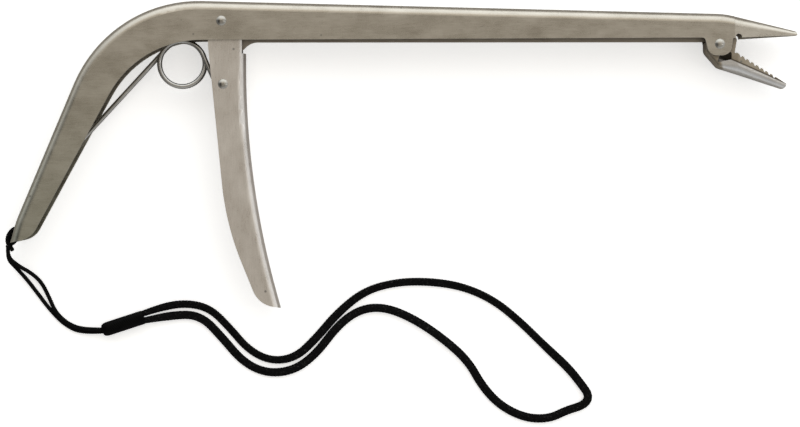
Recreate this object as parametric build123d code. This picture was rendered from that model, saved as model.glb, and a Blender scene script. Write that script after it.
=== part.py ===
from build123d import *
from math import cos, pi, radians, sin, tan
import os

# Pistol-grip hook remover for fishing, lying on its side, with its wrist lanyard beside it.
# Millimetres. X runs along the barrel to the nose, Y is up when the tool is held,
# Z is the tool's thickness, and Z = 0 is the surface that it lies on.

# ---- driving dimensions -------------------------------------------------------------
SHEET = 1.1                 # body sheet
THIN_SHEET = 1.0            # trigger and jaw sheet
BODY_WIDTH = 13.6
INNER_WIDTH = 9.8           # trigger and jaw, over their side walls
HEAD_HEIGHT = 0.75
HEAD_RADIUS = 1.8
SHANK_RADIUS = 1.2
RUNNING_GAP = 0.05          # radial clearance of what turns on a shank or pin
MID_Z = HEAD_HEIGHT + BODY_WIDTH / 2

BODY_CORNER = 3.2           # outside radius between web and side wall
TRIGGER_CORNER = 2.8
JAW_CORNER = 1.5

TRIGGER_PIVOT = Vector(-64.6, 47.4)
JAW_PIVOT = Vector(111.7, 39.2)
SPRING_POST = Vector(-64.1, 25.1)

TRIGGER_TRAVEL = 20.0       # degrees, at the trigger
JAW_TRAVEL = 34.5           # degrees, at the jaw
JAW_ARM = 4.2
TRIGGER_ARM = JAW_ARM * sin(radians(JAW_TRAVEL / 2)) / sin(radians(TRIGGER_TRAVEL / 2))

BAR_THICKNESS = 1.6
BAR_REAR_PIN_RADIUS = 1.1
BAR_FRONT_PIN_RADIUS = 1.0
OPEN_PIVOT_GAP = 0.35       # radial play of the bar's front hole on its pin

WIRE_RADIUS = 0.85
COIL_CENTRE = Vector(-78.8, 32.4)
COIL_RADIUS = 8.05
COIL_FULL_TURNS = 2
COIL_PITCH = 1.8
REAR_LEG = 60.0             # straight run from the coil to its foot in the handle
FRONT_LEG = 14.9            # straight run from the coil to its hook

THIN_CORD = 1.2             # diameter of the loop cord
STRAP_CORD = 2.4            # diameter of the wrist strap's tube
SLEEVE_LEFT = Vector(-107.7, -62.6)
SLEEVE_RIGHT = Vector(-93.0, -57.8)
SLEEVE_WIDTH = 5.1
SLEEVE_HEIGHT = 4.4

# ---- pivots of the pull bar ---------------------------------------------------------
REAR_PIN = TRIGGER_PIVOT + Vector(0, -TRIGGER_ARM).rotate(Axis.Z, TRIGGER_TRAVEL / 2)
FRONT_PIN = JAW_PIVOT + Vector(0, JAW_ARM).rotate(Axis.Z, -JAW_TRAVEL / 2)

# ---- outlines: (x, y, corner radius) ------------------------------------------------
# Back of the handle, over the bend and along the barrel to the root of the nose.
NOSE_ROOT_X = 117.0
BODY_WEB = [
    (-139.6, -31.2, 0),
    (-137.4, -23.4, 30),
    (-104.3, 55.35, 48),
    (113.7, 49.9, 28),
    (NOSE_ROOT_X, 49.12, 0),
]
# Free edges of the side walls: jaw ear, barrel, inside of the bend, handle, rounded end.
BODY_EDGE = [
    (NOSE_ROOT_X, 41.3, 0),
    (116.4, 41.2, 0),
    (115.4, 35.1, 3.4),
    (107.9, 35.1, 3.4),
    (106.4, 41.4, 1.2),
    (-93.9, 40.5, 37),
    (-131.8, -29.4, 7.5),
]
NOSE_TIP_X = 139.6
NOSE_SLOPE = -0.2364        # rise of the nose's top per millimetre of X
NOSE_EDGE_SLOPE = 0.05      # the same for its lower edge
NOSE_TIP_WIDTH = 5.4
NOSE_CORNER = 3.5           # at the root, a little larger than the body's

# Front of the trigger, downwards; the corner of 300 is its long slow bow.
TRIGGER_WEB = [(-56.2, 44.0, 0), (-56.2, -10.1, 300), (-43.8, -54.3, 0)]
TRIGGER_EDGE = [
    (-51.5, -53.0, 9),
    (-63.0, -24.8, 100),
    (-69.4, 38.8, 20),
    (-69.4, 52.0, 4.4),
    (-60.2, 52.0, 4.4),
]
WINDOW_SILL_Y = 35.9        # the trigger's web starts here; the bar passes above it

# Underside of the jaw from its root back to the tail's top end.
JAW_ROOT_X = 118.4
JAW_WEB = [(JAW_ROOT_X, 28.6, 0), (111.25, 30.98, 3.0), (106.6, 36.3, 3.0), (106.6, 39.6, 0)]
JAW_EDGE = [
    (108.4, 43.4, 2.0),
    (110.6, 45.7, 2.2),
    (115.4, 45.6, 2.4),
    (117.9, 40.8, 1.0),
    (117.1, 36.1, 0.3),
    (JAW_ROOT_X, 35.9, 0),
]
JAW_BEND_X = 112.3          # the rounded band of the blade starts here
BAND_DEPTH = 4.0
BEND_CORNER = 1.8           # outside radius of the blade at the bend, its root and its tip
BLADE_CORNER = 3.5
BLADE_TIP_CORNER = 2.1
JAW_SLOPE = -0.333          # underside of the toothed part
TOOTH_SLOPE = -0.615        # its toothed edge
JAW_TIP_X = 136.2
JAW_TIP_WIDTH = 5.0
TOOTH_COUNT = 8
TOOTH_PITCH = 1.7           # along X
TOOTH_DEPTH = 0.9

# ---- lanyard routes, x, y, z --------------------------------------------------------
UPPER_STRAND = [
    (-140.9, -34.2, 8.2),
    (-140.5, -36.9, 6.9),
    (-137.6, -39.5, 3.9),
    (-133.4, -41.9, 2.0),
    (-129.7, -45.3, 0.8),
    (-127.1, -50.4, 0.8),
    (-124.6, -56.1, 1.5),
    (-120.2, -60.2, 1.75),
    (-114.6, -62.3, 1.9),
    (-107.93, -62.2, 2.7),
]
LOWER_STRAND = [
    (-140.9, -34.2, 6.9),
    (-140.9, -37.3, 4.9),
    (-138.5, -40.2, 2.3),
    (-135.1, -44.1, 0.9),
    (-131.0, -49.4, 0.65),
    (-126.9, -54.9, 0.65),
    (-121.6, -60.5, 0.65),
    (-115.2, -63.6, 0.75),
    (-107.6, -63.0, 1.4),
]
WRIST_STRAP = [
    (-93.39, -56.61, 2.2),
    (-85.5, -53.8, 1.35),
    (-76.5, -52.9, 1.25),
    (-69.0, -55.0, 1.25),
    (-62.5, -61.5, 1.25),
    (-55.6, -69.6, 1.25),
    (-47.5, -73.6, 1.25),
    (-38.8, -72.4, 1.25),
    (-31.6, -65.7, 1.25),
    (-23.6, -56.2, 1.25),
    (-14.0, -48.4, 1.25),
    (-2.5, -45.3, 1.25),
    (9.5, -45.1, 1.25),
    (21.5, -47.0, 1.25),
    (32.5, -52.0, 1.25),
    (42.0, -59.9, 1.25),
    (51.0, -68.8, 1.25),
    (58.6, -75.8, 1.25),
    (63.2, -81.5, 1.25),
    (66.4, -86.0, 1.25),
    (64.6, -89.3, 1.25),
    (58.2, -91.2, 1.25),
    (52.0, -94.2, 1.25),
    (43.5, -94.0, 1.25),
    (34.5, -89.6, 1.25),
    (28.0, -82.6, 1.25),
    (23.0, -73.6, 1.25),
    (14.5, -65.9, 1.25),
    (4.0, -58.7, 1.25),
    (-6.5, -54.3, 1.25),
    (-15.5, -54.9, 1.25),
    (-23.5, -60.6, 1.25),
    (-31.5, -71.2, 1.25),
    (-39.5, -77.0, 1.25),
    (-49.0, -78.0, 1.25),
    (-57.5, -74.0, 1.25),
    (-65.0, -65.2, 1.25),
    (-72.0, -57.8, 1.25),
    (-80.5, -56.6, 1.25),
    (-92.61, -58.99, 2.0),
]


# ---- helpers ------------------------------------------------------------------------
def corner_arc(before, corner, after, radius):
    """Start, middle and end of the arc that rounds one corner."""
    back = (before - corner).normalized()
    ahead = (after - corner).normalized()
    half = radians(back.get_angle(ahead)) / 2
    reach = radius / tan(half)
    middle = corner + (back + ahead).normalized() * (radius / sin(half) - radius)
    return corner + back * reach, middle, corner + ahead * reach


def rounded_edges(corners, closed):
    """Straight and round edges through (x, y, radius) corners."""
    places = [Vector(x, y) for x, y, _ in corners]
    stretches = []
    for number, (_, _, radius) in enumerate(corners):
        place = places[number]
        at_end = not closed and number in (0, len(corners) - 1)
        if at_end or radius == 0:
            stretches.append((place, None, place))
        else:
            after = places[(number + 1) % len(corners)]
            stretches.append(corner_arc(places[number - 1], place, after, radius))
    edges = []
    for number, (start, middle, end) in enumerate(stretches):
        if number > 0:
            edges.append(Edge.make_line(stretches[number - 1][2], start))
        if middle is not None:
            edges.append(Edge.make_three_point_arc(start, middle, end))
    if closed:
        edges.append(Edge.make_line(stretches[-1][2], stretches[0][0]))
    return edges


def rounded_face(corners):
    """Flat face with a closed outline through (x, y, radius) corners."""
    return Face(Wire(rounded_edges(corners, True)))


def moved_right(corners, depth, overrun):
    """A run of corners moved to its right by depth, and longer by overrun at both ends."""
    places = [Vector(x, y) for x, y, _ in corners]
    lines = []
    for start, end in zip(places, places[1:]):
        along = (end - start).normalized()
        sideways = Vector(along.Y, -along.X) * depth
        lines.append((start + sideways, end + sideways, along))
    first = lines[0][0] - lines[0][2] * overrun
    moved = [(first.X, first.Y, 0)]
    for (start, _, along), (_, end, onward), corner in zip(lines, lines[1:], corners[1:]):
        turn = along.cross(onward).Z
        reach = (end - start).cross(onward).Z / turn
        place = start + along * reach
        radius = corner[2] - depth if turn < 0 else corner[2] + depth
        moved.append((place.X, place.Y, radius))
    last = lines[-1][1] + lines[-1][2] * overrun
    moved.append((last.X, last.Y, 0))
    return moved


def plate(outline, width):
    """Solid of that outline, as thick as width, centred on the mid-plane."""
    return extrude(rounded_face(outline), amount=width / 2, both=True)


def round_web(block, web, width, radius):
    """Rounds the two long corners between a block's web and its sides."""
    line = Wire(rounded_edges(web, False))
    corners = [
        edge
        for edge in block.edges()
        if abs(abs(edge.center().Z) - width / 2) < 0.001
        and line.distance_to(Vector((edge @ 0.5).X, (edge @ 0.5).Y, 0)) < 0.01
    ]
    return fillet(corners, radius)


def channel(web, edge, mouth, width, sheet, corner):
    """Folded channel: side walls of the outline web + edge, joined by the web.

    mouth closes the hollow's outline beyond the walls' free edges.
    """
    block = round_web(plate(web + edge, width), web, width, corner)
    inner_web = moved_right(web, sheet, 4.0)
    inner_width = width - 2 * sheet
    hollow = plate(inner_web + mouth, inner_width)
    hollow = round_web(hollow, inner_web, inner_width, corner - sheet)
    return block - hollow


def channel_section(x, web_y, edge_y, width, corner):
    """Cross-section at x, with its two corners at web_y rounded."""
    half = width / 2
    outline = [(edge_y, -half, 0), (edge_y, half, 0), (web_y, half, corner), (web_y, -half, corner)]
    return Plane.YZ.offset(x) * rounded_face(outline)


def post(place, radius, length):
    """Round bar across the tool, centred on the mid-plane."""
    return Pos(place.X, place.Y, 0) * Cylinder(radius, length)


def ring(place, outer, inner, length, middle_z=0.0):
    """Spacer, bush or washer round a shank."""
    return Pos(place.X, place.Y, middle_z) * (Cylinder(outer, length) - Cylinder(inner, length))


def rivet(place, grip):
    """Solid rivet with a low dome at each end."""
    ball = (HEAD_RADIUS**2 + HEAD_HEIGHT**2) / (2 * HEAD_HEIGHT)
    solid = Cylinder(SHANK_RADIUS, grip)
    cap = Pos(0, 0, HEAD_HEIGHT - ball) * Sphere(ball)
    head = cap & Pos(0, 0, HEAD_HEIGHT / 2) * Cylinder(HEAD_RADIUS + 1, HEAD_HEIGHT)
    solid += Pos(0, 0, grip / 2) * head
    solid += Pos(0, 0, -grip / 2) * Rot(180, 0, 0) * head
    return Pos(place.X, place.Y, 0) * solid


def spread_pair(place, outer, inner, gap_start, gap_end):
    """Two equal rings, one each side of the mid-plane, between two heights."""
    length = gap_end - gap_start
    middle = (gap_start + gap_end) / 2
    return [ring(place, outer, inner, length, side * middle) for side in (-1, 1)]


# ---- body ---------------------------------------------------------------------------
def nose(shrink, back_x, tip_x, edge_drop):
    """Tapered nose between back_x and tip_x, smaller all round by shrink."""
    length = NOSE_TIP_X - NOSE_ROOT_X
    root_top = BODY_WEB[-1][1]
    root_edge = BODY_EDGE[0][1]
    sections = []
    for x in (back_x, tip_x):
        run = x - NOSE_ROOT_X
        top = root_top + NOSE_SLOPE * run - shrink
        edge = root_edge + NOSE_EDGE_SLOPE * run - edge_drop
        width = BODY_WIDTH + (NOSE_TIP_WIDTH - BODY_WIDTH) * run / length - 2 * shrink
        corner = NOSE_CORNER + (1.2 - NOSE_CORNER) * run / length - 0.8 * shrink
        sections.append(channel_section(x, top, edge, width, corner))
    return loft(sections, ruled=True)


def nose_outline():
    """Side view of the nose, with its blunt round tip."""
    run = NOSE_TIP_X - NOSE_ROOT_X
    top = BODY_WEB[-1][1] + NOSE_SLOPE * run
    edge = BODY_EDGE[0][1] + NOSE_EDGE_SLOPE * run
    return [
        (NOSE_ROOT_X - 1, 60, 0),
        (NOSE_TIP_X - 4, 60, 0),
        (NOSE_TIP_X - 4, top + 4 * -NOSE_SLOPE + 0.02, 0),
        (NOSE_TIP_X, top, 1.4),
        (NOSE_TIP_X, edge - 0.1, 0.3),
        (NOSE_TIP_X - 4, edge - 0.3, 0),
        (NOSE_ROOT_X - 1, 35, 0),
    ]


def lanyard_hole():
    """Hole through the handle's web, close to its end."""
    return Pos(-138.1, -25.3, 0) * Rot(0, 0, -17) * Rot(0, 90, 0) * Cylinder(1.9, 5)


def make_body():
    mouth = [(NOSE_ROOT_X + 4, 30, 0), (-50, 30, 0), (-50, -40, 0), (-137, -40, 0)]
    body = channel(BODY_WEB, BODY_EDGE, mouth, BODY_WIDTH, SHEET, BODY_CORNER)
    beak = nose(0, NOSE_ROOT_X, NOSE_TIP_X, 0) & plate(nose_outline(), BODY_WIDTH)
    beak -= nose(SHEET - 0.1, NOSE_ROOT_X - 1, NOSE_TIP_X - 3, 2)
    body += beak
    body -= Pos(118.4, 41.7, 0) * Cylinder(1.1, BODY_WIDTH + 2)
    body -= post(TRIGGER_PIVOT, SHANK_RADIUS, BODY_WIDTH)
    body -= post(JAW_PIVOT, SHANK_RADIUS, BODY_WIDTH)
    body -= Pos(-139.0, -31.7, 0) * Box(6, 4, 3.4)
    return body - lanyard_hole()


# ---- trigger ------------------------------------------------------------------------
def make_trigger():
    mouth = [(-47.0, -70, 0), (-90, -70, 0), (-90, 60, 0), (-60, 60, 0)]
    trigger = channel(TRIGGER_WEB, TRIGGER_EDGE, mouth, INNER_WIDTH, THIN_SHEET, TRIGGER_CORNER)
    window = Pos(-50, WINDOW_SILL_Y + 10, 0) * Box(14.8, 20, INNER_WIDTH + 2)
    trigger -= window
    trigger -= post(TRIGGER_PIVOT, SHANK_RADIUS + RUNNING_GAP, INNER_WIDTH)
    trigger -= post(REAR_PIN, BAR_REAR_PIN_RADIUS, INNER_WIDTH)
    return trigger - post(SPRING_POST, SHANK_RADIUS, INNER_WIDTH)


# ---- lower jaw ----------------------------------------------------------------------
def jaw_blade(shrink, stations, rise):
    """Tapered, rounded part of the jaw through cross-sections at those X stations."""
    sections = []
    for x in stations:
        run = x - JAW_ROOT_X
        taper = max(run, 0) / (JAW_TIP_X - JAW_ROOT_X)
        swell = min(run, 0) / (JAW_ROOT_X - JAW_BEND_X)
        under = JAW_WEB[0][1] + JAW_SLOPE * run + shrink
        edge = JAW_EDGE[-1][1] + TOOTH_SLOPE * run + rise
        width = INNER_WIDTH + (JAW_TIP_WIDTH - INNER_WIDTH) * taper - 2 * shrink
        corner = BLADE_CORNER + (BLADE_TIP_CORNER - BLADE_CORNER) * taper
        corner += (BLADE_CORNER - BEND_CORNER) * max(swell, -1)
        sections.append(channel_section(x, under, edge, width, corner - 0.8 * shrink))
    return loft(sections, ruled=True)


def jaw_side(depth, start_x):
    """Side view of the blade: a band of that depth behind the teeth, and its round tip."""
    return [
        (start_x, JAW_WEB[0][1] + JAW_SLOPE * (start_x - JAW_ROOT_X) + depth, 0),
        (JAW_ROOT_X - 0.6, JAW_WEB[0][1] + depth + 0.2, 0),
        (JAW_ROOT_X - 0.6, 38, 0),
        (131.6, 28.3, 0.5),
        (135.9, 26.3, 1.7),
        (135.3, 22.9, 1.7),
        (start_x, JAW_WEB[0][1] + JAW_SLOPE * (start_x - JAW_ROOT_X) - 0.5, 0),
    ]


def tooth_gaps():
    """Vee notches across both toothed edges."""
    gaps = []
    for number in range(TOOTH_COUNT):
        x = JAW_ROOT_X + 0.9 + number * TOOTH_PITCH
        y = JAW_EDGE[-1][1] + TOOTH_SLOPE * (x - JAW_ROOT_X)
        vee = [(x - 0.85, y + 1.0, 0), (x, y - TOOTH_DEPTH, 0), (x + 0.85, y, 0), (x + 0.6, y + 1.4, 0)]
        gaps.append(plate(vee, INNER_WIDTH + 2))
    return gaps


def make_jaw():
    mouth = [(103.0, 60, 0), (125, 60, 0), (125, 40, 0)]
    jaw = channel(JAW_WEB, JAW_EDGE, mouth, INNER_WIDTH, THIN_SHEET, JAW_CORNER)
    jaw -= Pos(110, JAW_WEB[-1][1] + 10, 0) * Box(30, 20, INNER_WIDTH - 2 * THIN_SHEET)
    band = jaw_side(BAND_DEPTH, JAW_BEND_X)
    jaw -= plate(band, INNER_WIDTH + 2)
    blade = jaw_blade(0, (JAW_BEND_X, JAW_ROOT_X, JAW_TIP_X), 0) & plate(band, INNER_WIDTH)
    blade -= jaw_blade(THIN_SHEET - 0.1, (JAW_BEND_X - 1, JAW_ROOT_X, JAW_TIP_X - 3), 2)
    jaw += blade
    for gap in tooth_gaps():
        jaw -= gap
    # Only the upper wall is opened behind the blade; the lower one closes the jaw below it.
    relief = [
        (110.9, 32.7, 0.4),
        (116.0, 33.8, 0.3),
        (116.0, 36.2, 0.3),
        (113.4, 36.9, 0.5),
        (111.9, 35.6, 0.5),
    ]
    jaw -= Pos(0, 0, INNER_WIDTH / 2) * plate(relief, INNER_WIDTH)
    jaw -= post(JAW_PIVOT, SHANK_RADIUS + RUNNING_GAP, INNER_WIDTH)
    return jaw - post(FRONT_PIN, BAR_FRONT_PIN_RADIUS, INNER_WIDTH)


# ---- pull bar -----------------------------------------------------------------------
def make_pull_bar():
    outline = [
        (REAR_PIN.X - 3.2, REAR_PIN.Y + 3.2, 3.0),
        (REAR_PIN.X - 3.2, REAR_PIN.Y - 3.3, 3.0),
        (-57.5, 36.9, 3.0),
        (-54.5, 40.0, 6),
        (106.0, 40.1, 4),
        (FRONT_PIN.X - 1.2, FRONT_PIN.Y - 2.05, 1.0),
        (FRONT_PIN.X + 2.05, FRONT_PIN.Y - 2.05, 2.0),
        (FRONT_PIN.X + 2.05, FRONT_PIN.Y + 2.05, 2.0),
        (104.0, 44.9, 10),
    ]
    bar = plate(outline, BAR_THICKNESS)
    bar -= post(REAR_PIN, BAR_REAR_PIN_RADIUS + RUNNING_GAP, BAR_THICKNESS)
    return bar - post(FRONT_PIN, BAR_FRONT_PIN_RADIUS + OPEN_PIVOT_GAP, BAR_THICKNESS)


# ---- torsion spring -----------------------------------------------------------------
def make_spring():
    """One bent wire: rear leg in the handle, coil, front leg hooked round its post."""
    rear_angle = 137.4
    front_angle = 24.3
    sweep_angle = COIL_FULL_TURNS * 360 + rear_angle - front_angle
    rise = COIL_PITCH * sweep_angle / 360
    coil = Edge.make_helix(COIL_PITCH, rise, COIL_RADIUS, lefthand=True)
    coil = coil.moved(Pos(COIL_CENTRE.X, COIL_CENTRE.Y, -rise / 2) * Rot(0, 0, rear_angle))
    rear_bend = coil @ 0 - (coil % 0) * REAR_LEG
    rear_leg = FilletPolyline(
        coil @ 0,
        rear_bend,
        (-126.9, -10.2, rear_bend.Z),
        radius=[3],
    )
    front_bend = coil @ 1 + (coil % 1) * FRONT_LEG
    front_leg = FilletPolyline(
        coil @ 1,
        front_bend,
        (-61.3, 22.3, front_bend.Z),
        (-61.2, 25.2, front_bend.Z),
        radius=[2.2, 1.5],
    )
    path = Wire(rear_leg.edges() + [coil] + front_leg.edges())
    section = Plane(origin=path @ 0, z_dir=path % 0) * Circle(WIRE_RADIUS)
    return sweep(section, path=path)


# ---- lanyard ------------------------------------------------------------------------
def cord_radii(route):
    """Bend radius at each inner point: 0.45 of the shorter run over tan(half the turn)."""
    points = [Vector(*point) for point in route]
    radii = []
    for before, here, after in zip(points, points[1:], points[2:]):
        turn = radians((here - before).get_angle(after - here))
        shorter = min((here - before).length, (after - here).length)
        radii.append(0.45 * shorter / tan(turn / 2))
    return radii


def cord(name, route, diameter):
    """Round tube along straight runs joined by tangent arcs."""
    radii = cord_radii(route)
    path = FilletPolyline(*route, radius=radii)
    section = Plane(origin=path @ 0, z_dir=path % 0) * Circle(diameter / 2)
    tube = sweep(section, path=path)
    expected = pi * diameter**2 / 4 * path.length
    print(name, "length", round(path.length, 1), "volume ratio", round(tube.volume / expected, 4))
    print("  radii in diameters", [round(radius / diameter, 1) for radius in radii])
    return tube


def make_hitch():
    """Two turns of the loop cord through the hole and round the end of the web."""
    corners = [
        (-137.7, -25.1, 0),
        (-139.5, -24.6, 0.7),
        (-141.2, -28.4, 2.0),
        (-140.7, -31.6, 0.9),
        (-137.6, -30.8, 0.7),
        (-135.9, -25.6, 0.8),
    ]
    loop = Wire(rounded_edges(corners, True))
    turns = []
    for height in (-0.65, 0.65):
        path = loop.moved(Pos(0, 0, height))
        section = Plane(origin=path @ 0, z_dir=path % 0) * Circle(THIN_CORD / 2)
        turns.append(sweep(section, path=path))
    return turns


def make_bight():
    """Fold of the loop cord that crosses over its own two strands."""
    roll = Cylinder(0.75, 3.0)
    for end in (-1.5, 1.5):
        roll += Pos(0, 0, end) * Sphere(0.75)
    return Pos(-140.4, -32.9, 0) * roll


def sleeve_frame():
    """Frame at the sleeve's left end: Z along the sleeve, Y up from the surface."""
    along = (SLEEVE_RIGHT - SLEEVE_LEFT).normalized()
    origin = Vector(SLEEVE_LEFT.X, SLEEVE_LEFT.Y, SLEEVE_HEIGHT / 2)
    return Plane(origin=origin, x_dir=Vector(along.Y, -along.X, 0), z_dir=along)


def make_sleeve(length, crimp_radius, crimp_length):
    """Moulded sleeve with a closed pocket for the crimp."""
    section = RectangleRounded(SLEEVE_WIDTH, SLEEVE_HEIGHT, SLEEVE_HEIGHT / 2 - 0.1)
    body = extrude(section, amount=length)
    body = fillet(body.faces().sort_by(Axis.Z)[0].edges(), 0.7)
    body = fillet(body.faces().sort_by(Axis.Z)[-1].edges(), 0.25)
    body -= Pos(0, 0, length / 2) * Cylinder(crimp_radius, crimp_length)
    return sleeve_frame() * body


def make_crimp(length, crimp_radius, crimp_length):
    """Metal ferrule squeezed round the cord ends inside the sleeve."""
    tube = Cylinder(crimp_radius, crimp_length) - Cylinder(crimp_radius - 0.4, crimp_length)
    return sleeve_frame() * (Pos(0, 0, length / 2) * tube)


# ---- all nodes ----------------------------------------------------------------------
def make_metal_nodes():
    """Nodes of the tool itself, built round the mid-plane z = 0."""
    trigger_gap = INNER_WIDTH / 2 - THIN_SHEET - 0.1
    wall_gap = BODY_WIDTH / 2 - SHEET
    washer_start = INNER_WIDTH / 2 + 0.1
    loose = SHANK_RADIUS + RUNNING_GAP
    bar_gap = BAR_THICKNESS / 2 + 0.1
    rear_bore = BAR_REAR_PIN_RADIUS + RUNNING_GAP
    front_bore = BAR_FRONT_PIN_RADIUS + RUNNING_GAP
    return {
        "body_frame": make_body(),
        "trigger": make_trigger(),
        "lower_jaw": make_jaw(),
        "pull_bar": make_pull_bar(),
        "torsion_spring": make_spring(),
        "trigger_pivot_rivet": rivet(TRIGGER_PIVOT, BODY_WIDTH),
        "jaw_pivot_rivet": rivet(JAW_PIVOT, BODY_WIDTH),
        "spring_post_rivet": rivet(SPRING_POST, INNER_WIDTH),
        "trigger_pivot_bush": ring(TRIGGER_PIVOT, 1.9, loose, 2 * trigger_gap),
        "jaw_pivot_bush": ring(JAW_PIVOT, 1.55, loose, 2 * trigger_gap),
        "spring_post_bush": ring(SPRING_POST, 1.37, loose, 2 * trigger_gap),
        "trigger_pivot_washers": spread_pair(TRIGGER_PIVOT, 2.6, loose, washer_start, wall_gap),
        "jaw_pivot_washers": spread_pair(JAW_PIVOT, 2.6, loose, washer_start, wall_gap),
        "pull_bar_rear_pin": post(REAR_PIN, BAR_REAR_PIN_RADIUS, INNER_WIDTH),
        "pull_bar_front_pin": post(FRONT_PIN, BAR_FRONT_PIN_RADIUS, INNER_WIDTH),
        "rear_pin_spacers": spread_pair(REAR_PIN, 1.9, rear_bore, bar_gap, trigger_gap),
        "front_pin_spacers": spread_pair(FRONT_PIN, 1.7, front_bore, bar_gap, trigger_gap),
        "lanyard_hitch": make_hitch(),
        "lanyard_bight": make_bight(),
    }


def make_floor_nodes():
    """Nodes of the lanyard that are placed from the surface z = 0."""
    length = (SLEEVE_RIGHT - SLEEVE_LEFT).length
    return {
        "loop_cord_upper": cord("loop_cord_upper", UPPER_STRAND, THIN_CORD),
        "loop_cord_lower": cord("loop_cord_lower", LOWER_STRAND, THIN_CORD),
        "cord_sleeve": make_sleeve(length, 1.7, 7.0),
        "sleeve_crimp": make_crimp(length, 1.7, 7.0),
        "wrist_strap": cord("wrist_strap", WRIST_STRAP, STRAP_CORD),
    }


def write_node(name, shape, lift):
    """One STEP file for each node."""
    solids = shape if isinstance(shape, list) else [shape]
    placed = [Pos(0, 0, lift) * solid for solid in solids]
    export_step(placed[0] if len(placed) == 1 else Compound(children=placed), f"parts/{name}.step")


os.makedirs("parts", exist_ok=True)
for name, shape in make_metal_nodes().items():
    write_node(name, shape, MID_Z)
for name, shape in make_floor_nodes().items():
    write_node(name, shape, 0)
print("trigger arm", round(TRIGGER_ARM, 3), "rear pin", REAR_PIN, "front pin", FRONT_PIN)
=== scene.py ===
import math

import bpy
import numpy as np
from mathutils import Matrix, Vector


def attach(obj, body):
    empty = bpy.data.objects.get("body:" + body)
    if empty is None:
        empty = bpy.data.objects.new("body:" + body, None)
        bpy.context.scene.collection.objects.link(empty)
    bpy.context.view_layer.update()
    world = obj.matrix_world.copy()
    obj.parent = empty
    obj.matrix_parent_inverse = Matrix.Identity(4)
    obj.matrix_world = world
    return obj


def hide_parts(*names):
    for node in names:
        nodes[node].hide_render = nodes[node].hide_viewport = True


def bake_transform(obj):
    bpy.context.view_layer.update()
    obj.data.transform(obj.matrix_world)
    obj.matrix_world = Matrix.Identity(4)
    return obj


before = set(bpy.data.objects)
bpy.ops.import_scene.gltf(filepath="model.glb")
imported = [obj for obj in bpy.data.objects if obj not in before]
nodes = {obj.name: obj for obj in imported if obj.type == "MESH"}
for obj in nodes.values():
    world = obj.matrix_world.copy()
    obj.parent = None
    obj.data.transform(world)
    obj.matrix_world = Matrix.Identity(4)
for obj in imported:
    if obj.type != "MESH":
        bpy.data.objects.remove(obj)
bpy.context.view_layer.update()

MM = 0.001
# Height of the tool's middle plane.
MID_Z = 7.55 * MM

# ---- lanyard routes, in metres ------------------------------------------------------
UPPER_STRAND = [
    (-0.1406, -0.0324, 0.0084),
    (-0.1413, -0.0360, 0.0072),
    (-0.1376, -0.0395, 0.0039),
    (-0.1334, -0.0419, 0.0020),
    (-0.1297, -0.0453, 0.0008),
    (-0.1271, -0.0504, 0.0008),
    (-0.1246, -0.0561, 0.0015),
    (-0.1202, -0.0602, 0.00175),
    (-0.1146, -0.0623, 0.0019),
    (-0.10793, -0.0622, 0.0027),
]
LOWER_STRAND = [
    (-0.1406, -0.0324, 0.0070),
    (-0.1416, -0.0366, 0.0052),
    (-0.1385, -0.0402, 0.0023),
    (-0.1351, -0.0441, 0.0009),
    (-0.1310, -0.0494, 0.00065),
    (-0.1269, -0.0549, 0.00065),
    (-0.1216, -0.0605, 0.00065),
    (-0.1152, -0.0636, 0.00075),
    (-0.1076, -0.0630, 0.0014),
]
# Height of the strap's middle where it lies on the surface.
REST_HEIGHT = 1.25 * MM
STRAP_LYING = [
    (-0.0765, -0.0529),
    (-0.0690, -0.0550),
    (-0.0625, -0.0615),
    (-0.0556, -0.0696),
    (-0.0475, -0.0736),
    (-0.0388, -0.0724),
    (-0.0316, -0.0657),
    (-0.0236, -0.0562),
    (-0.0140, -0.0484),
    (-0.0025, -0.0453),
    (0.0095, -0.0451),
    (0.0215, -0.0470),
    (0.0325, -0.0520),
    (0.0420, -0.0599),
    (0.0510, -0.0688),
    (0.0586, -0.0758),
    (0.0632, -0.0815),
    (0.0664, -0.0860),
    (0.0646, -0.0893),
    (0.0582, -0.0912),
    (0.0520, -0.0942),
    (0.0435, -0.0940),
    (0.0345, -0.0896),
    (0.0280, -0.0826),
    (0.0230, -0.0736),
    (0.0145, -0.0659),
    (0.0040, -0.0587),
    (-0.0065, -0.0543),
    (-0.0155, -0.0549),
    (-0.0235, -0.0606),
    (-0.0315, -0.0712),
    (-0.0395, -0.0770),
    (-0.0490, -0.0780),
    (-0.0575, -0.0740),
    (-0.0650, -0.0652),
    (-0.0720, -0.0578),
    (-0.0805, -0.0566),
]
WRIST_STRAP = [
    (-0.09339, -0.05661, 0.0022),
    (-0.0855, -0.0538, 0.00135),
    *[(x, y, REST_HEIGHT) for x, y in STRAP_LYING],
    (-0.09261, -0.05899, 0.0020),
]


# ---- shader helpers -----------------------------------------------------------------
def map_range(tree, value, low, high, out_low, out_high, kind="LINEAR"):
    """Output that goes from out_low to out_high while value goes from low to high."""
    node = tree.nodes.new("ShaderNodeMapRange")
    node.interpolation_type = kind
    tree.links.new(value, node.inputs["Value"])
    node.inputs["From Min"].default_value = low
    node.inputs["From Max"].default_value = high
    node.inputs["To Min"].default_value = out_low
    node.inputs["To Max"].default_value = out_high
    return node.outputs[0]


def darker(colour, share):
    return tuple(share * channel for channel in colour)


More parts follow.
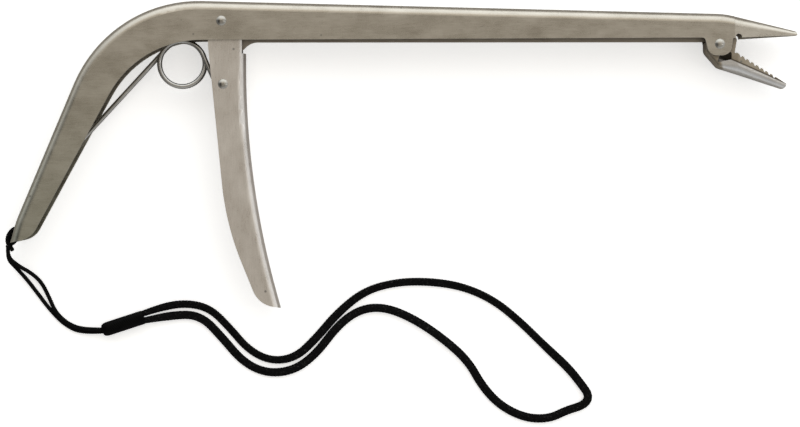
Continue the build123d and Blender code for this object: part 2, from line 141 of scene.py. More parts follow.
class Shader:
    """A material whose nodes are added one call at a time."""

    def __init__(self, name):
        self.material = bpy.data.materials.new(name)
        self.material.use_nodes = True
        self.tree = self.material.node_tree
        self.tree.nodes.clear()
        self.output = self.tree.nodes.new("ShaderNodeOutputMaterial")
        self.surface = self.tree.nodes.new("ShaderNodeBsdfPrincipled")
        self.tree.links.new(self.surface.outputs[0], self.output.inputs[0])
        self.coords = self.tree.nodes.new("ShaderNodeTexCoord").outputs["Object"]

    def plug(self, value, socket):
        """Links an output to a socket, or sets the socket to a constant."""
        if isinstance(value, bpy.types.NodeSocket):
            self.tree.links.new(value, socket)
        else:
            socket.default_value = value

    def set(self, name, value):
        self.plug(value, self.surface.inputs[name])

    def axis(self, name):
        """Object coordinate along one axis, in metres."""
        split = self.tree.nodes.new("ShaderNodeSeparateXYZ")
        self.plug(self.coords, split.inputs[0])
        return split.outputs[name]

    def mapped(self, scale, turn=0.0):
        """Scaled object coordinates; a pattern laid on them is turned about Z by turn degrees."""
        spin = self.tree.nodes.new("ShaderNodeVectorRotate")
        spin.rotation_type = "Z_AXIS"
        spin.inputs["Angle"].default_value = math.radians(-turn)
        self.plug(self.coords, spin.inputs["Vector"])
        node = self.tree.nodes.new("ShaderNodeMapping")
        self.plug(spin.outputs[0], node.inputs["Vector"])
        node.inputs["Scale"].default_value = scale
        return node.outputs[0]

    def noise(self, vector, detail=3.0, rough=0.55):
        node = self.tree.nodes.new("ShaderNodeTexNoise")
        self.plug(vector, node.inputs["Vector"])
        node.inputs["Scale"].default_value = 1.0
        node.inputs["Detail"].default_value = detail
        node.inputs["Roughness"].default_value = rough
        node.inputs["Distortion"].default_value = 0.0
        return node.outputs["Fac"]

    def cells(self, scale):
        """Cell noise, with the distance to a cell's middle and a random colour for each cell."""
        node = self.tree.nodes.new("ShaderNodeTexVoronoi")
        self.plug(self.coords, node.inputs["Vector"])
        node.inputs["Scale"].default_value = scale
        return node

    def span(self, value, low, high, out_low=0.0, out_high=1.0):
        """value between low and high becomes out_low to out_high, clamped."""
        return map_range(self.tree, value, low, high, out_low, out_high)

    def spread(self, noise, low=0.0, high=1.0):
        """Noise, which stays mostly between 0.3 and 0.7, becomes low to high."""
        return self.span(noise, 0.3, 0.7, low, high)

    def math(self, operation, first, second=0.0):
        node = self.tree.nodes.new("ShaderNodeMath")
        node.operation = operation
        self.plug(first, node.inputs[0])
        self.plug(second, node.inputs[1])
        return node.outputs[0]

    def mix(self, amount, first, second):
        """Colour between first and second."""
        node = self.tree.nodes.new("ShaderNodeMix")
        node.data_type = "RGBA"
        self.plug(amount, node.inputs["Factor"])
        for colour, name in ((first, "A"), (second, "B")):
            if not isinstance(colour, bpy.types.NodeSocket):
                colour = (*colour, 1.0)
            self.plug(colour, next(s for s in node.inputs if s.name == name and s.type == "RGBA"))
        return next(s for s in node.outputs if s.type == "RGBA")

    def bump(self, height, distance, normal=None):
        node = self.tree.nodes.new("ShaderNodeBump")
        node.inputs["Strength"].default_value = 1.0
        node.inputs["Distance"].default_value = distance
        self.plug(height, node.inputs["Height"])
        if normal is not None:
            self.plug(normal, node.inputs["Normal"])
        return node.outputs[0]

    def round_edges(self, radius):
        node = self.tree.nodes.new("ShaderNodeBevel")
        node.samples = 6
        node.inputs["Radius"].default_value = radius
        return node.outputs[0]


def place_along(s, slope_x, slope_y, start):
    """Distance of a point, in metres, past a line across X and Y."""
    along_x = s.math("MULTIPLY", s.axis("X"), slope_x)
    along_y = s.math("MULTIPLY", s.axis("Y"), slope_y)
    return s.math("SUBTRACT", s.math("ADD", along_x, along_y), start)


# Y where the barrel's colour starts to fade, and Y where the handle's colour is full.
HANDLE_FADE = (0.045, -0.03)
HANDLE_DARK = (0.33, 0.325, 0.265)
HANDLE_LIGHT = (0.49, 0.485, 0.41)

# Lines across the jaw for place_along: the one along its lower edge, and the tail's end.
JAW_LOWER_EDGE = (0.406, 0.949, 0.07526)
JAW_TAIL_END = (1.0, 0.3, 0.1222)
# Distances past the lower edge where the band ends and where the painted shade of the inside
# starts.
JAW_BAND_DEPTH = 3.8 * MM
JAW_INSIDE_DEPTH = 1.3 * MM
JAW_INSIDE_HALF_WIDTH = 3.93 * MM
# X where the painted shade of the inside fades in behind the opening, and X where it fades out.
JAW_INSIDE_START = (0.1103, 0.1108)
JAW_INSIDE_END = (0.1176, 0.1172)
# Painted reflection: tones of the flat toothed walls and tail, darker and browner than the
# rounded band.
JAW_WALL_REFLECTION_DARK = (0.28, 0.24, 0.18)
JAW_WALL_REFLECTION_LIGHT = (0.46, 0.41, 0.33)
# Painted reflection: the dark line where the walls meet the rounded band.
JAW_REFLECTION_LINE = (0.06, 0.05, 0.04)
# Painted shade: the nearly black inside seen through the opening.
JAW_INSIDE_SHADE = (0.03, 0.026, 0.02)

# Noise scales for each axis: along the grain, across it, and up.
MOTTLE_SCALE = (90, 150, 150)
STREAK_SCALE = (220, 5200, 5200)
FLECK_SCALE = (2600, 3200, 3200)
SCRATCH_SCALE = (260, 9000, 2000)
SCRATCHED_AREA_SCALE = (160, 160, 160)
SCRATCH_TURN = 24
PIT_SCALE = 210.0
MARK_STRENGTH = 0.75
STEEL_RELIEF = 0.0018 * MM


def greener_handle(s, colour, tone):
    """The handle's lower end is a greener, darker grey than the barrel."""
    low_end = s.span(place_along(s, 0.0, 1.0, 0.0), *HANDLE_FADE)
    return s.mix(low_end, colour, s.mix(tone, HANDLE_DARK, HANDLE_LIGHT))


def jaw_painted_reflection_and_shade(s, colour, tone):
    """Painted reflection: brownish toothed walls and tail, a dark line, the lighter rounded band.

    The inside that shows through the opening in the upper wall is painted shade, nearly black.
    """
    above = place_along(s, *JAW_LOWER_EDGE)
    ahead = place_along(s, *JAW_TAIL_END)
    toothed = s.span(above, JAW_BAND_DEPTH - 0.1 * MM, JAW_BAND_DEPTH + 0.1 * MM)
    tail = s.span(ahead, 0.4 * MM, -0.4 * MM)
    # Painted reflection: the walls and tail are painted darker and browner than the band.
    wall_reflection = s.mix(tone, JAW_WALL_REFLECTION_DARK, JAW_WALL_REFLECTION_LIGHT)
    painted = s.mix(s.math("MAXIMUM", toothed, tail), colour, wall_reflection)
    # Painted reflection: a dark line along the edge of the band.
    off_line = s.math("ABSOLUTE", s.math("SUBTRACT", above, JAW_BAND_DEPTH + 0.15 * MM))
    line = s.span(off_line, 0.15 * MM, 0.4 * MM, 0.8, 0.0)
    line = s.math("MULTIPLY", line, s.span(ahead, 1.0 * MM, 2.5 * MM))
    painted = s.mix(line, painted, JAW_REFLECTION_LINE)
    # Painted shade: the inside behind the opening in the upper wall is painted nearly black.
    off_middle = s.math("ABSOLUTE", s.math("SUBTRACT", s.axis("Z"), MID_Z))
    inside = s.math("LESS_THAN", off_middle, JAW_INSIDE_HALF_WIDTH)
    for limit in (
        s.math("GREATER_THAN", above, JAW_INSIDE_DEPTH),
        s.span(s.axis("X"), *JAW_INSIDE_START),
        s.span(s.axis("X"), *JAW_INSIDE_END),
    ):
        inside = s.math("MULTIPLY", inside, limit)
    inside_shade = s.math("MULTIPLY", inside, s.span(tone, 0.0, 1.0, 0.97, 0.75))
    return s.mix(inside_shade, painted, JAW_INSIDE_SHADE)


def steel(
    name,
    dark,
    light,
    rough,
    turn=0.0,
    wear=1.0,
    edge=0.16 * MM,
    grain=1.0,
    repaint=None,
    crevice=0.9 * MM,
):
    """Satin sheet steel: mottling, brushed grain, scratches, small pits and painted shade in
    corners.

    turn is the grain's direction in degrees, wear the strength of scratches and pits, and grain
    the contrast of the brushing. edge is the radius that rounds sharp edges in the light, and
    crevice the reach of the painted shade in corners. repaint is a function that changes the
    colour.
    """
    s = Shader(name)
    mottle = s.noise(s.mapped(MOTTLE_SCALE, turn), detail=4.0, rough=0.6)
    streak = s.noise(s.mapped(STREAK_SCALE, turn), detail=2.0, rough=0.6)
    fleck = s.noise(s.mapped(FLECK_SCALE, turn), detail=2.0, rough=0.6)
    scratch = s.noise(s.mapped(SCRATCH_SCALE, turn + SCRATCH_TURN), detail=1.0)
    scratched_area = s.span(s.noise(s.mapped(SCRATCHED_AREA_SCALE), detail=1.0), 0.5, 0.62)
    scratch = s.math("MULTIPLY", s.span(scratch, 0.735, 0.78), scratched_area)
    cell = s.cells(PIT_SCALE)
    pit = s.span(cell.outputs["Distance"], 0.05, 0.12, 1.0, 0.0)
    pit = s.math("MULTIPLY", pit, s.math("GREATER_THAN", cell.outputs["Color"], 0.72))
    marks = s.math("MULTIPLY", s.math("MAXIMUM", scratch, pit), MARK_STRENGTH * wear)

    brushed = s.spread(streak, -0.08 * grain, 0.2 * grain)
    tone = s.math("ADD", s.spread(mottle, 0.0, 0.62), brushed)
    tone = s.math("ADD", tone, s.spread(fleck, -0.1 * grain, 0.22 * grain))
    colour = s.mix(tone, dark, light)
    if repaint is not None:
        colour = repaint(s, colour, tone)
    # Painted shade: the colour darkens in corners and crevices, where ambient occlusion finds
    # nearby surfaces.
    hidden = s.tree.nodes.new("ShaderNodeAmbientOcclusion")
    hidden.samples = 6
    hidden.inputs["Distance"].default_value = crevice
    crevice_shade = s.span(hidden.outputs["AO"], 0.35, 0.8, 0.85, 0.0)
    colour = s.mix(crevice_shade, colour, darker(dark, 0.16))
    colour = s.mix(marks, colour, darker(dark, 0.28))
    s.set("Base Color", colour)
    s.set("Metallic", 1.0)

    uneven = s.spread(mottle, rough - 0.04, rough + 0.05)
    uneven = s.math("ADD", uneven, s.spread(streak, -0.03, 0.04))
    s.set("Roughness", s.math("ADD", uneven, s.math("MULTIPLY", marks, 0.15)))
    height = s.math("ADD", s.math("MULTIPLY", streak, 0.5), s.math("MULTIPLY", fleck, 0.6))
    height = s.math("SUBTRACT", height, s.math("MULTIPLY", marks, 2.5))
    rounded = s.round_edges(edge) if edge else None
    s.set("Normal", s.bump(height, STEEL_RELIEF, rounded))
    return s.material


def black_fibre(name, pitch, light_fleck):
    """Matt black braided synthetic fibre, with worn lighter filaments."""
    s = Shader(name)
    weave = s.noise(s.mapped((1 / pitch,) * 3), detail=3.0, rough=0.7)
    fuzz = s.noise(s.mapped((9000, 9000, 9000)), detail=2.0, rough=0.6)
    worn = s.span(s.noise(s.mapped((1500, 1500, 1500)), detail=3.0, rough=0.7), 0.58, 0.72)
    worn = s.math("MULTIPLY", worn, light_fleck)
    colour = s.mix(s.spread(weave), (0.0015, 0.0015, 0.0017), (0.006, 0.0057, 0.0055))
    s.set("Base Color", s.mix(worn, colour, (0.05, 0.048, 0.045)))
    s.set("Roughness", s.spread(fuzz, 0.72, 0.92))
    s.set("Specular IOR Level", 0.07)
    s.set("Normal", s.bump(s.math("ADD", weave, s.math("MULTIPLY", fuzz, 0.5)), 0.05 * MM))
    return s.material


def black_moulding(name):
    """Black moulded rubbery plastic with a fine grain."""
    s = Shader(name)
    grain = s.noise(s.mapped((4200, 4200, 4200)), detail=3.0, rough=0.6)
    smear = s.noise(s.mapped((320, 500, 500), 18), detail=3.0, rough=0.6)
    smear = s.span(smear, 0.35, 0.7)
    s.set("Base Color", s.mix(smear, (0.0008, 0.0008, 0.0009), (0.0025, 0.0024, 0.0023)))
    s.set("Roughness", s.spread(grain, 0.38, 0.55))
    s.set("Specular IOR Level", 0.06)
    s.set("Normal", s.bump(grain, 0.02 * MM, s.round_edges(0.12 * MM)))
    return s.material


body_metal = steel(
    "body_steel",
    (0.42, 0.385, 0.325),
    (0.62, 0.58, 0.505),
    0.28,
    repaint=greener_handle,
)
trigger_metal = steel(
    "trigger_steel",
    (0.64, 0.60, 0.55),
    (0.86, 0.82, 0.765),
    0.30,
    turn=90,
    edge=0,
)
jaw_metal = steel(
    "jaw_steel",
    (0.56, 0.55, 0.53),
    (0.80, 0.785, 0.76),
    0.33,
    turn=-20,
    repaint=jaw_painted_reflection_and_shade,
    # A long reach, so that painted shade fills the inside of the jaw's channel.
    crevice=5 * MM,
)
rivet_metal = steel(
    "rivet_steel",
    (0.33, 0.31, 0.275),
    (0.52, 0.495, 0.44),
    0.24,
    edge=0.08 * MM,
    wear=0.6,
)
wire_metal = steel(
    "spring_steel",
    (0.38, 0.37, 0.35),
    (0.62, 0.61, 0.58),
    0.22,
    edge=0.05 * MM,
    grain=0.5,
    wear=0.5,
)
# Painted shade: a darker copy of the body steel, for the bar's strip that shows in shade below
# the barrel.
shaded_bar_metal = steel("bar_steel", (0.30, 0.265, 0.22), (0.46, 0.42, 0.36), 0.40)
washer_metal = steel("washer_steel", (0.40, 0.39, 0.37), (0.58, 0.57, 0.55), 0.34, edge=0.08 * MM)
thin_fibre = black_fibre("black_cord", 0.5 * MM, 0.25)
strap_fibre = black_fibre("black_braid", 0.7 * MM, 0.8)
sleeve_moulding = black_moulding("black_sleeve")

node_looks = {
    "body_frame": body_metal,
    "trigger": trigger_metal,
    "lower_jaw": jaw_metal,
    "pull_bar": shaded_bar_metal,
    "trigger_pivot_rivet": rivet_metal,
    "jaw_pivot_rivet": rivet_metal,
    "spring_post_rivet": rivet_metal,
    "pull_bar_rear_pin": trigger_metal,
    "pull_bar_front_pin": rivet_metal,
    "trigger_pivot_bush": washer_metal,
    "jaw_pivot_bush": washer_metal,
    "spring_post_bush": washer_metal,
    "trigger_pivot_washers": washer_metal,
    "jaw_pivot_washers": washer_metal,
    "rear_pin_spacers": washer_metal,
    "front_pin_spacers": washer_metal,
    "sleeve_crimp": washer_metal,
}
for node_name, look in node_looks.items():
    mesh = nodes[node_name].data
    mesh.materials.clear()
    mesh.materials.append(look)


# ---- mesh helpers -------------------------------------------------------------------
def spline_points(name, route, closed=False, per_span=14):
    """A smooth NURBS line with the route as its control points, as dense points."""
    curve = bpy.data.curves.new(name, "CURVE")
    curve.dimensions = "3D"
    spline = curve.splines.new("NURBS")
    spline.points.add(len(route) - 1)
    for point, place in zip(spline.points, route):
        point.co = (*place, 1.0)
    spline.order_u = 3
    spline.use_endpoint_u = not closed
    spline.use_cyclic_u = closed
    spline.resolution_u = per_span
    holder = bpy.data.objects.new(name, curve)
    bpy.context.scene.collection.objects.link(holder)
    line = bpy.data.meshes.new_from_object(holder)
    places = [Vector(v.co) for v in line.vertices]
    bpy.data.objects.remove(holder)
    bpy.data.meshes.remove(line)
    return [tuple(p) for p in places]


def evenly(points, step, closed=False):
    """The same line with points about one step apart."""
    line = np.array(points + points[:1] if closed else points, float)
    runs = np.linalg.norm(np.diff(line, axis=0), axis=1)
    along = np.concatenate([[0], np.cumsum(runs)])
    count = max(4, int(round(along[-1] / step)))
    marks = np.linspace(0, along[-1], count + 1)
    if closed:
        marks = marks[:-1]
    return np.stack([np.interp(marks, along, line[:, k]) for k in range(3)], 1)


def directions(line, closed=False):
    """Unit tangent, sideways and upward direction at each point of a line."""
    if closed:
        ahead, behind = np.roll(line, -1, 0), np.roll(line, 1, 0)
    else:
        ahead = np.vstack([line[1:], line[-1:] * 2 - line[-2:-1]])
        behind = np.vstack([line[:1] * 2 - line[1:2], line[:-1]])
    tangent = ahead - behind
    tangent /= np.linalg.norm(tangent, axis=1)[:, None]
    side = np.cross(np.array([0, 0, 1.0]), tangent)
    side /= np.maximum(np.linalg.norm(side, axis=1), 1e-9)[:, None]
    return tangent, side, np.cross(tangent, side)


def tube(name, line, section, around, closed=False, dome=True, drop=None):
    """Mesh tube along the line; section(s, angle) gives its offsets sideways and up."""
    tangent, side, up = directions(line, closed)
    runs = np.linalg.norm(np.diff(line, axis=0), axis=1)
    s = np.concatenate([[0], np.cumsum(runs)])[:, None]
    angle = np.linspace(0, 2 * math.pi, around, endpoint=False)[None, :]
    across, high = section(s, angle)
    centre = line.copy()
    if drop is not None:
        centre[:, 2] += drop(s[:, 0])
    rings = centre[:, None, :] + across[..., None] * side[:, None, :]
    rings = rings + high[..., None] * up[:, None, :]
    places = rings.reshape(-1, 3)
    count = len(line)
    faces = []
    last = count if closed else count - 1
    for i in range(last):
        j = (i + 1) % count
        for k in range(around):
            m = (k + 1) % around
            faces.append((i * around + k, i * around + m, j * around + m, j * around + k))
    if not closed:
        reach = (np.abs(high).max() * 0.5) if dome else 0.0
        tips = [centre[0] - tangent[0] * reach, centre[-1] + tangent[-1] * reach]
        places = np.vstack([places, tips])
        first_tip, last_tip = count * around, count * around + 1
        for k in range(around):
            m = (k + 1) % around
            faces.append((first_tip, m, k))
            base = (count - 1) * around
            faces.append((last_tip, base + k, base + m))
    mesh = bpy.data.meshes.new(name)
    mesh.from_pydata([tuple(p) for p in places], [], faces)
    mesh.shade_smooth()
    mesh.update()
    piece = bpy.data.objects.new(name, mesh)
    bpy.context.scene.collection.objects.link(piece)
    return piece


def finished(piece, material, slot, body, *replaced):
    """Gives a piece its material, and the CAD nodes it stands for; slot is not used."""
    piece.data.materials.append(material)
    if body is not None:
        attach(piece, body)
    if replaced:
        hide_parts(*replaced)
    return piece


# ---- torsion spring, in millimetres, heights from the middle plane ------------------
COIL_CENTRE = np.array([-78.8, 32.4])
COIL_RADIUS = 8.05
WIRE_RADIUS = 0.85
REAR_ANGLE = 137.4
COIL_SWEEP = 833.1
COIL_PITCH = 1.8
REAR_LEG = 60.0
FRONT_LEG = 14.9
COIL_STEPS = 420
# Where the wire ends or bends again beyond its two legs, as X and Y.
REAR_FOOT = (-126.9, -10.2)
FRONT_HOOK = (-61.3, 22.3)
FRONT_TIP = (-61.2, 25.2)


def arc_between(before, corner, after, radius, count=14):
    """Points of the arc that rounds the corner of three places."""
    back = (before - corner) / np.linalg.norm(before - corner)
    onward = (after - corner) / np.linalg.norm(after - corner)
    half = math.acos(float(np.clip(back @ onward, -1, 1))) / 2
    bisector = (back + onward) / np.linalg.norm(back + onward)
    centre = corner + bisector * radius / math.sin(half)
    first = corner + back * radius / math.tan(half) - centre
    last = corner + onward * radius / math.tan(half) - centre
    whole = math.acos(float(np.clip(first @ last / radius**2, -1, 1)))
    steps = np.linspace(0, 1, count)[:, None]
    turned = np.sin((1 - steps) * whole) * first + np.sin(steps * whole) * last
    return centre + turned / math.sin(whole)


def spring_line():
    """Centre line of the wire: rear leg, coil and front leg, in metres."""
    turn = np.radians(REAR_ANGLE - np.linspace(0, 1, COIL_STEPS) * COIL_SWEEP)
    rise = COIL_PITCH * COIL_SWEEP / 360
    coil = np.stack([
        COIL_CENTRE[0] + COIL_RADIUS * np.cos(turn),
        COIL_CENTRE[1] + COIL_RADIUS * np.sin(turn),
        np.linspace(-rise / 2, rise / 2, COIL_STEPS),
    ], 1)
    start_way = np.array([math.sin(turn[0]), -math.cos(turn[0]), 0])
    end_way = np.array([math.sin(turn[-1]), -math.cos(turn[-1]), 0])
    rear_bend = coil[0] - start_way * REAR_LEG
    foot = np.array([*REAR_FOOT, rear_bend[2]])
    front_bend = coil[-1] + end_way * FRONT_LEG
    hook = np.array([*FRONT_HOOK, front_bend[2]])
    tip = np.array([*FRONT_TIP, front_bend[2]])
    line = np.vstack([
        foot[None],
        arc_between(foot, rear_bend, coil[0], 3.0),
        coil,
        arc_between(coil[-1], front_bend, hook, 2.2),
        arc_between(front_bend, hook, tip, 1.5),
        tip[None],
    ])
    return line * MM + np.array([0, 0, MID_Z])


def superellipse(cosine, sine, power):
    """Radius of a rounded box of half width one; a larger power gives squarer corners."""
    return (np.abs(cosine) ** power + np.abs(sine) ** power) ** (-1 / power)


def round_wire(radius):
    return lambda s, a: (radius * np.cos(a) + 0 * s, radius * np.sin(a) + 0 * s)


spring = tube(
    "torsion_spring_wire",
    evenly([tuple(p) for p in spring_line()], 0.45 * MM),
    round_wire(WIRE_RADIUS * MM),
    18,
    dome=False,
)
finished(spring, wire_metal, "spring_steel", None)
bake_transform(spring)
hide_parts("torsion_spring")


# ---- sleeve -------------------------------------------------------------------------
SLEEVE_LEFT = np.array([-0.1077, -0.0626, 0.0022])
SLEEVE_RIGHT = np.array([-0.0930, -0.0578, 0.0022])
SLEEVE_HALF_WIDTH = 2.5 * MM
SLEEVE_HALF_HEIGHT = 2.1 * MM
SLEEVE_LEFT_TAPER = 2.2 * MM
SLEEVE_RIGHT_TAPER = 0.7 * MM
SLEEVE_SQUARENESS = 2.8
RIB_PITCH = 0.75 * MM
RIB_HEIGHT = 0.05 * MM


def sleeve_section(s, angle):
    """Rounded box section, drawn in at both ends, with slanting ribs on its upper side."""
    length = float(np.linalg.norm(SLEEVE_RIGHT - SLEEVE_LEFT))
    cosine, sine = np.cos(angle), np.sin(angle)
    size = superellipse(cosine, sine, SLEEVE_SQUARENESS)
    from_left = np.clip(s / SLEEVE_LEFT_TAPER, 0, 1)
    from_right = np.clip((length - s) / SLEEVE_RIGHT_TAPER, 0, 1)
    taper = 0.58 + 0.42 * np.sqrt(1 - (1 - from_left) ** 2)
    taper = taper * (0.9 + 0.1 * np.sqrt(1 - (1 - from_right) ** 2))
    slant = np.sin((s + 1.1 * MM * cosine) / RIB_PITCH * 2 * math.pi)
    ribbed = np.clip((s - 2.0 * MM) / MM, 0, 1) * np.clip((length - 1.2 * MM - s) / MM, 0, 1)
    rib = RIB_HEIGHT * slant * ribbed
    across = SLEEVE_HALF_WIDTH * cosine * size * taper + rib * cosine
    high = SLEEVE_HALF_HEIGHT * sine * size * taper + rib * sine
    return across, high


sleeve_line = evenly([tuple(SLEEVE_LEFT), tuple(SLEEVE_RIGHT)], 0.1 * MM)
sleeve = tube("cord_sleeve_moulding", sleeve_line, sleeve_section, 72, dome=False)
finished(sleeve, sleeve_moulding, "black_sleeve", "frame", "cord_sleeve")


# ---- thin loop cords and their knot -------------------------------------------------
STRAND_RADIUS = 0.74 * MM
HITCH_RADIUS = 0.72 * MM
BIGHT_RADIUS = 0.64 * MM
THIN_LAY = 1.5 * MM
THIN_STEP = 0.12 * MM


def thin_section(radius):
    """Round cord of eight plaited strands."""
    def section(s, angle):
        lay = 2 * math.pi * s / THIN_LAY
        plait = np.abs(np.sin(2 * angle + lay)) + np.abs(np.sin(2 * angle - lay))
        r = radius * (0.93 + 0.09 * (plait - 0.8))
        return r * np.cos(angle), r * np.sin(angle)
    return section


def loop_cord(name, route, node):
    """One strand of the loop between the hitch and the sleeve."""
    line = evenly(spline_points(name, route), THIN_STEP)
    piece = tube(name, line, thin_section(STRAND_RADIUS), 20)
    finished(piece, thin_fibre, "black_cord", "frame", node)


loop_cord("loop_cord_upper_strand", UPPER_STRAND, "loop_cord_upper")
loop_cord("loop_cord_lower_strand", LOWER_STRAND, "loop_cord_lower")

OUTER_TURN = [
    (-0.1374, -0.0262),
    (-0.1390, -0.0262),
    (-0.1410, -0.0288),
    (-0.1410, -0.0319),
    (-0.1388, -0.0316),
    (-0.1360, -0.0268),
]
INNER_TURN = [
    (-0.1373, -0.0264),
    (-0.1384, -0.0264),
    (-0.1398, -0.0288),
    (-0.1397, -0.0312),
    (-0.1383, -0.0309),
    (-0.1362, -0.0272),
]


def hitch_turn(name, corners, height, lean):
    """One turn of the cord through the hole and round the end of the web."""
    route = [(x, y, MID_Z + height + lean * (y + 0.028) / 0.004) for x, y in corners]
    line = evenly(spline_points(name, route, closed=True), THIN_STEP, closed=True)
    piece = tube(name, line, thin_section(HITCH_RADIUS), 20, closed=True)
    finished(piece, thin_fibre, "black_cord", "frame", "lanyard_hitch")


hitch_turn("lanyard_hitch_outer_turn", OUTER_TURN, 0.45 * MM, 0.25 * MM)
hitch_turn("lanyard_hitch_inner_turn", INNER_TURN, -0.35 * MM, -0.25 * MM)

BIGHT_ROUTE = [
    (-0.1393, -0.0337, MID_Z - 1.0 * MM),
    (-0.1397, -0.0329, MID_Z - 1.8 * MM),
    (-0.1407, -0.0325, MID_Z - 1.4 * MM),
    (-0.1411, -0.0325, MID_Z),
    (-0.1407, -0.0325, MID_Z + 1.4 * MM),
    (-0.1397, -0.0329, MID_Z + 1.8 * MM),
    (-0.1391, -0.0339, MID_Z + 1.0 * MM),
]
bight_line = evenly(spline_points("bight", BIGHT_ROUTE), 0.1 * MM)
bight = tube("lanyard_bight_fold", bight_line, thin_section(BIGHT_RADIUS), 20)
finished(bight, thin_fibre, "black_cord", "frame", "lanyard_bight")


# ---- wrist strap --------------------------------------------------------------------
STRAP_WIDTH = 3.05 * MM
STRAP_THICKNESS = 1.6 * MM
STRAP_LENGTH = 0.385
STRAP_SQUARENESS = 2.5
STRAP_RIDGE = 0.07 * MM
STRAP_LAY = 2.3 * MM
PINCH_LENGTH = 9 * MM
DROP_LENGTH = 5 * MM
# Extra lean of the upper strand, and the share of the length at which it ends.
UPPER_LEAN = 0.62
UPPER_SHARE = 0.46
LEAN_LIMITS = (-0.6, 0.66)


def strap_lean(s):
    """Turn of the flat braid about its own line, in radians, wandering along the cord."""
    share = s / STRAP_LENGTH
    slow_wave = 0.22 * np.sin(2 * math.pi * share * 3.0 + 0.7)
    quick_wave = 0.15 * np.sin(2 * math.pi * share * 7.3 + 2.1)
    upper = UPPER_LEAN / (1 + np.exp((share - UPPER_SHARE) * 40))
    return np.clip(slow_wave + quick_wave + upper, *LEAN_LIMITS)


def strap_section(s, angle):
    """Flat tubular braid: crossing strands stand out of an oval section."""
    cosine, sine = np.cos(angle), np.sin(angle)
    lay = 2 * math.pi * s / STRAP_LAY
    plait = np.sin(3 * angle + lay) * np.sin(3 * angle - lay)
    ridge = STRAP_RIDGE * plait
    size = superellipse(cosine, sine, STRAP_SQUARENESS)
    from_end = np.minimum(s, STRAP_LENGTH - s) / PINCH_LENGTH
    pinch = 0.74 + 0.26 * np.clip(from_end, 0, 1)
    wide = (STRAP_WIDTH / 2 * size * pinch + ridge) * cosine
    thick = (STRAP_THICKNESS / 2 * size + ridge) * sine
    lean = strap_lean(s)
    return wide * np.cos(lean) - thick * np.sin(lean), wide * np.sin(lean) + thick * np.cos(lean)


def strap_drop(s):
    """Lowers the braid until it lies on the surface, except next to the sleeve."""
    lean = strap_lean(s)
    half = np.hypot(STRAP_WIDTH / 2 * np.sin(lean), STRAP_THICKNESS / 2 * np.cos(lean))
    from_sleeve = np.minimum(s, s[-1] - s) / DROP_LENGTH
    return (half + STRAP_RIDGE - REST_HEIGHT) * np.clip(from_sleeve, 0, 1)


strap_line = evenly(spline_points("strap", WRIST_STRAP), 0.2 * MM)
strap = tube("wrist_strap_braid", strap_line, strap_section, 36, drop=strap_drop)
finished(strap, strap_fibre, "black_braid", "frame", "wrist_strap")


# ---- floor, light and camera --------------------------------------------------------
FLOOR_HALF = 3.0
FLOOR_HEIGHT = -0.05 * MM
FLOOR_GLOW = 0.55
# Colour of the floor in reflections, darker than the camera sees it.
REFLECTED_FLOOR = (0.52, 0.50, 0.475)


def make_floor():
    """Pale paper that glows a little, so that it stays nearly white under the tool."""
    mesh = bpy.data.meshes.new("floor")
    turns = ((-1, -1), (1, -1), (1, 1), (-1, 1))
    corners = [(FLOOR_HALF * x, FLOOR_HALF * y, FLOOR_HEIGHT) for x, y in turns]
    mesh.from_pydata(corners, [], [(0, 1, 2, 3)])
    floor = bpy.data.objects.new("floor", mesh)
    bpy.context.scene.collection.objects.link(floor)
    s = Shader("pale_floor")
    paper = s.noise(s.mapped((12, 12, 12)), detail=3.0, rough=0.6)
    pale = s.mix(s.spread(paper), (0.92, 0.92, 0.915), (0.95, 0.95, 0.945))
    mirrored = s.tree.nodes.new("ShaderNodeLightPath").outputs["Is Glossy Ray"]
    s.set("Base Color", s.mix(mirrored, pale, REFLECTED_FLOOR))
    s.set("Emission Color", (1.0, 0.995, 0.985, 1.0))
    s.set("Emission Strength", s.math("MULTIPLY", s.math("SUBTRACT", 1.0, mirrored), FLOOR_GLOW))
    s.set("Roughness", 0.9)
    s.set("Specular IOR Level", 0.1)
    mesh.materials.append(s.material)


def panel(name, place, target, size, power, colour=(1, 1, 1)):
    """Soft rectangular light at place, facing target."""
    light = bpy.data.lights.new(name, "AREA")
    light.shape = "RECTANGLE"
    light.size, light.size_y = size
    light.energy = power
    light.color = colour
    lamp = bpy.data.objects.new(name, light)
    lamp.location = place
    lamp.rotation_euler = (Vector(target) - Vector(place)).to_track_quat("-Z", "Y").to_euler()
    bpy.context.scene.collection.objects.link(lamp)


# Axis of the direction, two places along it, and the light added at each of them.
STUDIO_RAMPS = [
    ("Z", 0.15, 0.80, 0.80, 0.46),
    ("Y", 0.13, 0.42, 0.0, 0.62),
    ("X", -0.20, -0.65, 0.0, -0.45),
]
# Z of the direction where the light's colour starts to change, and where it has changed.
OVERHEAD = (0.60, 0.95)
SIDE_LIGHT = (0.97, 0.985, 1.0)
OVERHEAD_LIGHT = (1.0, 0.93, 0.83)


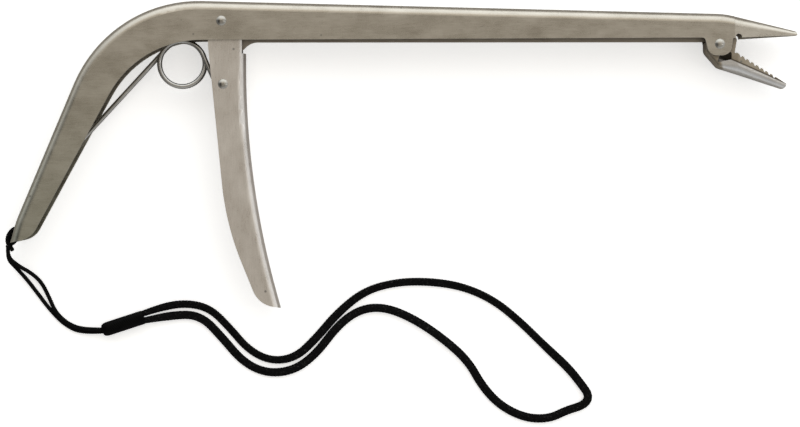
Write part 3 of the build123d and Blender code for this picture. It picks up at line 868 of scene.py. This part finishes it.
def make_world():
    """Studio light: dimmer and warmer overhead, bright beyond the barrel, dim past the handle."""
    world = bpy.data.worlds.new("studio")
    world.use_nodes = True
    tree = world.node_tree
    tree.nodes.clear()
    output = tree.nodes.new("ShaderNodeOutputWorld")
    background = tree.nodes.new("ShaderNodeBackground")
    coords = tree.nodes.new("ShaderNodeTexCoord")
    split = tree.nodes.new("ShaderNodeSeparateXYZ")
    tree.links.new(coords.outputs["Generated"], split.inputs[0])
    parts = []
    for axis, *limits in STUDIO_RAMPS:
        parts.append(map_range(tree, split.outputs[axis], *limits, kind="SMOOTHSTEP"))
    strength = parts[0]
    for part in parts[1:]:
        total = tree.nodes.new("ShaderNodeMath")
        tree.links.new(strength, total.inputs[0])
        tree.links.new(part, total.inputs[1])
        strength = total.outputs[0]
    tree.links.new(strength, background.inputs["Strength"])
    tint = tree.nodes.new("ShaderNodeMixRGB")
    overhead = map_range(tree, split.outputs["Z"], *OVERHEAD, 0.0, 1.0)
    tree.links.new(overhead, tint.inputs["Fac"])
    tint.inputs["Color1"].default_value = (*SIDE_LIGHT, 1.0)
    tint.inputs["Color2"].default_value = (*OVERHEAD_LIGHT, 1.0)
    tree.links.new(tint.outputs[0], background.inputs["Color"])
    tree.links.new(background.outputs[0], output.inputs[0])
    bpy.context.scene.world = world


SENSOR_WIDTH = 36.0
CAMERA_AIM = Vector((-0.0014, -0.0208, 0.0075))
CAMERA_DISTANCE = 1.1
VIEW_WIDTH = 0.2845

make_floor()
make_world()
panel("long_softbox", (0.0, 0.62, 0.40), (0.0, 0.02, 0.0), (1.4, 0.6), 1.3, (0.84, 0.93, 1.0))
panel("right_card", (0.52, -0.05, 0.56), (0.0, 0.0, 0.0), (0.09, 0.5), 0.24)

camera_data = bpy.data.cameras.new("camera")
camera_data.sensor_width = SENSOR_WIDTH
camera_data.lens = SENSOR_WIDTH * CAMERA_DISTANCE / VIEW_WIDTH
camera_data.clip_start = 0.01
camera_data.clip_end = 20.0
camera = bpy.data.objects.new("camera", camera_data)
camera.location = CAMERA_AIM + Vector((0, 0, CAMERA_DISTANCE))
bpy.context.scene.collection.objects.link(camera)
bpy.context.scene.camera = camera
bpy.context.scene.view_settings.view_transform = "Standard"
